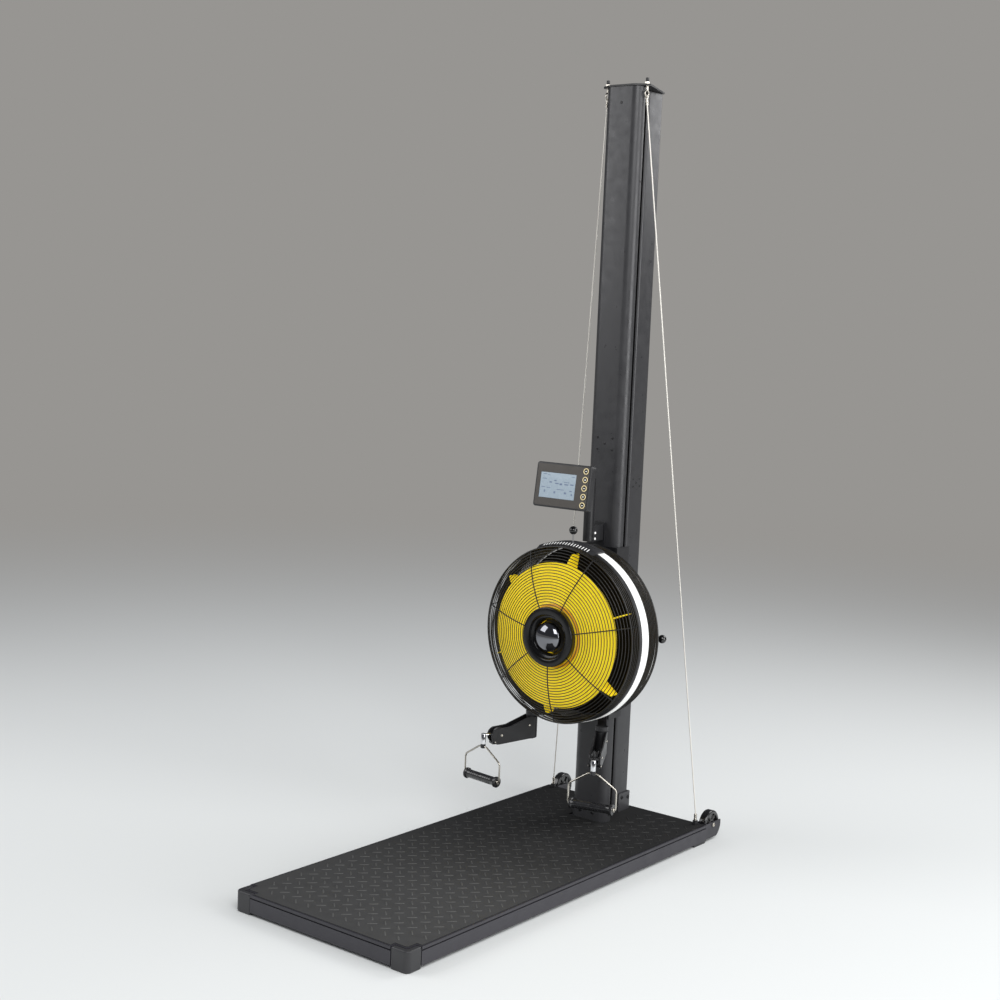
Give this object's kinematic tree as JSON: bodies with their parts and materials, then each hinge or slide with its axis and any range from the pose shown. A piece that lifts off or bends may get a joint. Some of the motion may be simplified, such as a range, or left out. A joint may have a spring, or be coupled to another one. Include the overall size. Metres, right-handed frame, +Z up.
{
  "type": "ski trainer machine",
  "caption": "Standing ski trainer: a mat-topped deck with a tall mast, a sliding air-fan resistance unit, a tilting monitor and swinging pull arms with D-handles.",
  "frame": {"origin": "on the floor, in the middle of the footprint, midway between the front corner caps and the back of the wheel housings", "axes": "+Z up along the mast, +X to the right of a user who stands on the deck facing the mast, +Y from the user to the mast"},
  "size_m": [0.585, 1.439, 2.2237],
  "materials": {
    "frame_paint": "charcoal satin powder coat",
    "black_paint": "black satin powder coat",
    "mat_rubber": "dark grey rubber with a raised bar pattern",
    "black_plastic": "matte moulded plastic",
    "wheel_rubber": "matte rubber",
    "grip_rubber": "matte ribbed rubber",
    "cage_wire": "black coated wire",
    "fan_yellow": "bright yellow moulded plastic",
    "white_plastic": "white moulded plastic",
    "chrome": "polished chrome",
    "steel": "bare stainless steel",
    "knob_gloss": "glossy black ball knob",
    "screen_face": "pale blue-grey display face",
    "button_gold": "pale gold button caps"
  },
  "bodies": {
    "base": {"deck_mat": "mat_rubber", "deck_board": "frame_paint", "side_rail_left": "frame_paint", "side_rail_right": "frame_paint", "front_rail": "frame_paint", "rear_rail": "frame_paint", "corner_cap_left": "black_plastic", "corner_cap_right": "black_plastic", "rear_foot_left": "black_plastic", "rear_foot_right": "black_plastic", "wheel_housing_left": "frame_paint", "wheel_housing_right": "frame_paint", "mast_front_channel": "frame_paint", "mast_rear_tube": "frame_paint", "mast_foot_collar": "frame_paint", "mast_rear_bracket": "frame_paint", "top_plate": "black_paint", "eye_bolt_left": "steel", "eye_bolt_right": "steel", "cable_anchor_left": "steel", "cable_anchor_right": "steel", "brace_cable_left": "steel", "brace_cable_right": "steel"},
    "wheel_left": {"transport_wheel_left": "wheel_rubber"},
    "wheel_right": {"transport_wheel_right": "wheel_rubber"},
    "carriage": {"carriage_plate": "black_paint", "carriage_cheek_left": "black_paint", "carriage_cheek_right": "black_paint", "cage_front_grille": "cage_wire", "cage_side": "cage_wire", "cage_rear_grille": "cage_wire", "hub_ring": "black_plastic", "shutter_scale": "black_plastic", "monitor_post": "black_paint", "arm_mount_left": "black_paint", "arm_mount_right": "black_paint"},
    "lock_lever": {"height_lock_lever": "knob_gloss"},
    "fan": {"fan_wheel": "fan_yellow", "fan_shaft": "steel", "hub_dome": "chrome", "cord_drum": "black_plastic"},
    "shutter": {"air_shutter": "white_plastic", "shutter_lever": "knob_gloss"},
    "monitor": {"monitor_housing": "black_plastic", "monitor_screen": "screen_face"},
    "button_1": {"monitor_button_1": "button_gold"},
    "button_2": {"monitor_button_2": "button_gold"},
    "button_3": {"monitor_button_3": "button_gold"},
    "button_4": {"monitor_button_4": "button_gold"},
    "button_5": {"monitor_button_5": "button_gold"},
    "left_arm": {"arm_left": "black_paint"},
    "right_arm": {"arm_right": "black_paint"},
    "left_pulley": {"arm_pulley_left": "black_plastic"},
    "right_pulley": {"arm_pulley_right": "black_plastic"},
    "left_swivel": {"handle_swivel_left": "black_plastic"},
    "right_swivel": {"handle_swivel_right": "black_plastic"},
    "left_bail": {"handle_bail_left": "steel"},
    "right_bail": {"handle_bail_right": "steel"},
    "left_grip": {"handle_grip_left": "grip_rubber"},
    "right_grip": {"handle_grip_right": "grip_rubber"}
  },
  "joints": [
    {"name": "wheel_left_roll", "type": "hinge", "parent": "base", "child": "wheel_left", "pos_m": [-0.2727, 0.6695, 0.046], "axis": [1, 0, 0], "continuous": true},
    {"name": "wheel_right_roll", "type": "hinge", "parent": "base", "child": "wheel_right", "pos_m": [0.2727, 0.6695, 0.046], "axis": [1, 0, 0], "continuous": true},
    {"name": "carriage_height", "type": "slide", "parent": "base", "child": "carriage", "axis": [0, 0, 1], "range_m": [0, 1.18]},
    {"name": "lock_lever_lift", "type": "hinge", "parent": "carriage", "child": "lock_lever", "pos_m": [0.0723, 0.4435, 0.63], "axis": [0, -1, 0], "range_deg": [0, 45]},
    {"name": "fan_spin", "type": "hinge", "parent": "carriage", "child": "fan", "pos_m": [0, 0.2, 0.637], "axis": [0, 1, 0], "continuous": true},
    {"name": "shutter_turn", "type": "hinge", "parent": "carriage", "child": "shutter", "pos_m": [0, 0.28, 0.637], "axis": [0, 1, 0], "range_deg": [-15, 15]},
    {"name": "monitor_tilt", "type": "hinge", "parent": "carriage", "child": "monitor", "pos_m": [0, 0.2345, 1.063], "axis": [1, 0, 0], "range_deg": [-15, 15]},
    {"name": "button_1_press", "type": "slide", "parent": "monitor", "child": "button_1", "axis": [0, 0.9912, -0.1323], "range_m": [0, 0.0015], "stiffness_N_per_m": 300},
    {"name": "button_2_press", "type": "slide", "parent": "monitor", "child": "button_2", "axis": [0, 0.9912, -0.1323], "range_m": [0, 0.0015], "stiffness_N_per_m": 300},
    {"name": "button_3_press", "type": "slide", "parent": "monitor", "child": "button_3", "axis": [0, 0.9912, -0.1323], "range_m": [0, 0.0015], "stiffness_N_per_m": 300},
    {"name": "button_4_press", "type": "slide", "parent": "monitor", "child": "button_4", "axis": [0, 0.9912, -0.1323], "range_m": [0, 0.0015], "stiffness_N_per_m": 300},
    {"name": "button_5_press", "type": "slide", "parent": "monitor", "child": "button_5", "axis": [0, 0.9912, -0.1323], "range_m": [0, 0.0015], "stiffness_N_per_m": 300},
    {"name": "left_arm_swing", "type": "hinge", "parent": "carriage", "child": "left_arm", "pos_m": [-0.125, 0.2895, 0.337], "axis": [0, 0, 1], "range_deg": [-45, 27]},
    {"name": "right_arm_swing", "type": "hinge", "parent": "carriage", "child": "right_arm", "pos_m": [0.125, 0.2895, 0.337], "axis": [0, 0, 1], "range_deg": [-27, 45]},
    {"name": "left_pulley_spin", "type": "hinge", "parent": "left_arm", "child": "left_pulley", "pos_m": [-0.17222, 0.19684, 0.319], "axis": [0.891, -0.454, 0], "continuous": true},
    {"name": "right_pulley_spin", "type": "hinge", "parent": "right_arm", "child": "right_pulley", "pos_m": [0.17222, 0.19684, 0.319], "axis": [0.891, 0.454, 0], "continuous": true},
    {"name": "left_handle_turn", "type": "hinge", "parent": "left_arm", "child": "left_swivel", "pos_m": [-0.19537, 0.15139, 0.32], "axis": [0, 0, 1], "continuous": true},
    {"name": "right_handle_turn", "type": "hinge", "parent": "right_arm", "child": "right_swivel", "pos_m": [0.19537, 0.15139, 0.32], "axis": [0, 0, 1], "continuous": true},
    {"name": "left_bail_swing", "type": "hinge", "parent": "left_swivel", "child": "left_bail", "pos_m": [-0.19537, 0.15139, 0.287], "axis": [0.9925, -0.1219, 0], "range_deg": [-60, 60]},
    {"name": "right_bail_swing", "type": "hinge", "parent": "right_swivel", "child": "right_bail", "pos_m": [0.19537, 0.15139, 0.287], "axis": [0.972, 0.2351, 0], "range_deg": [-60, 60]},
    {"name": "left_grip_roll", "type": "hinge", "parent": "left_bail", "child": "left_grip", "pos_m": [-0.19537, 0.15139, 0.193], "axis": [0.9925, -0.1219, 0], "continuous": true},
    {"name": "right_grip_roll", "type": "hinge", "parent": "right_bail", "child": "right_grip", "pos_m": [0.19537, 0.15139, 0.193], "axis": [0.972, 0.2351, 0], "continuous": true}
  ]
}
